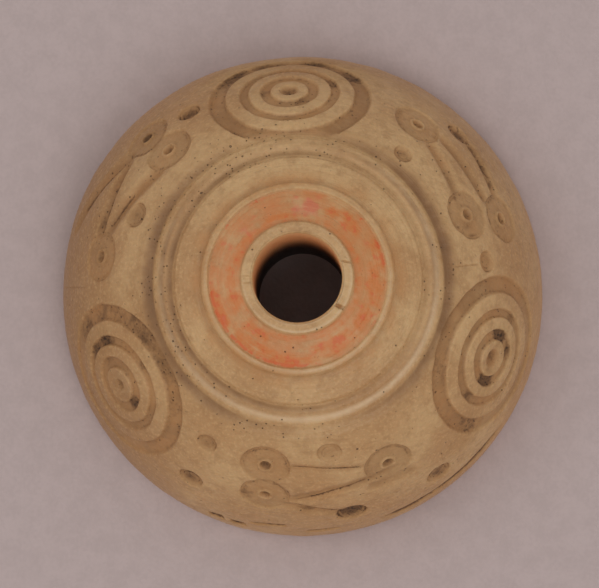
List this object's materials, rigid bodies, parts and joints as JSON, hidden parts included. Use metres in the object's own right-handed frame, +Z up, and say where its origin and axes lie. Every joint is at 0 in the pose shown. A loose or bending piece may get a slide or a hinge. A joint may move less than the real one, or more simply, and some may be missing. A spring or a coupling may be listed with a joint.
{
  "type": "bone spindle whorl",
  "caption": "Domed bone spindle whorl with a straight central bore, a stepped turned top and carved ring-and-dot marks; it weights a hand spindle.",
  "frame": {"origin": "middle of the flat underside, on the bore's axis", "axes": "+Z up along the bore from the flat underside to the domed top; +Y towards the large ring mark that touches the turned top; +X to the right of it seen from above"},
  "size_m": [0.0336, 0.0336, 0.0172],
  "materials": {
    "bone": "old polished bone, honey coloured, with dark dirt in the cuts and worn vermilion on the recessed band of the top"
  },
  "bodies": {
    "root": {"whorl": "bone"}
  },
  "joints": []
}
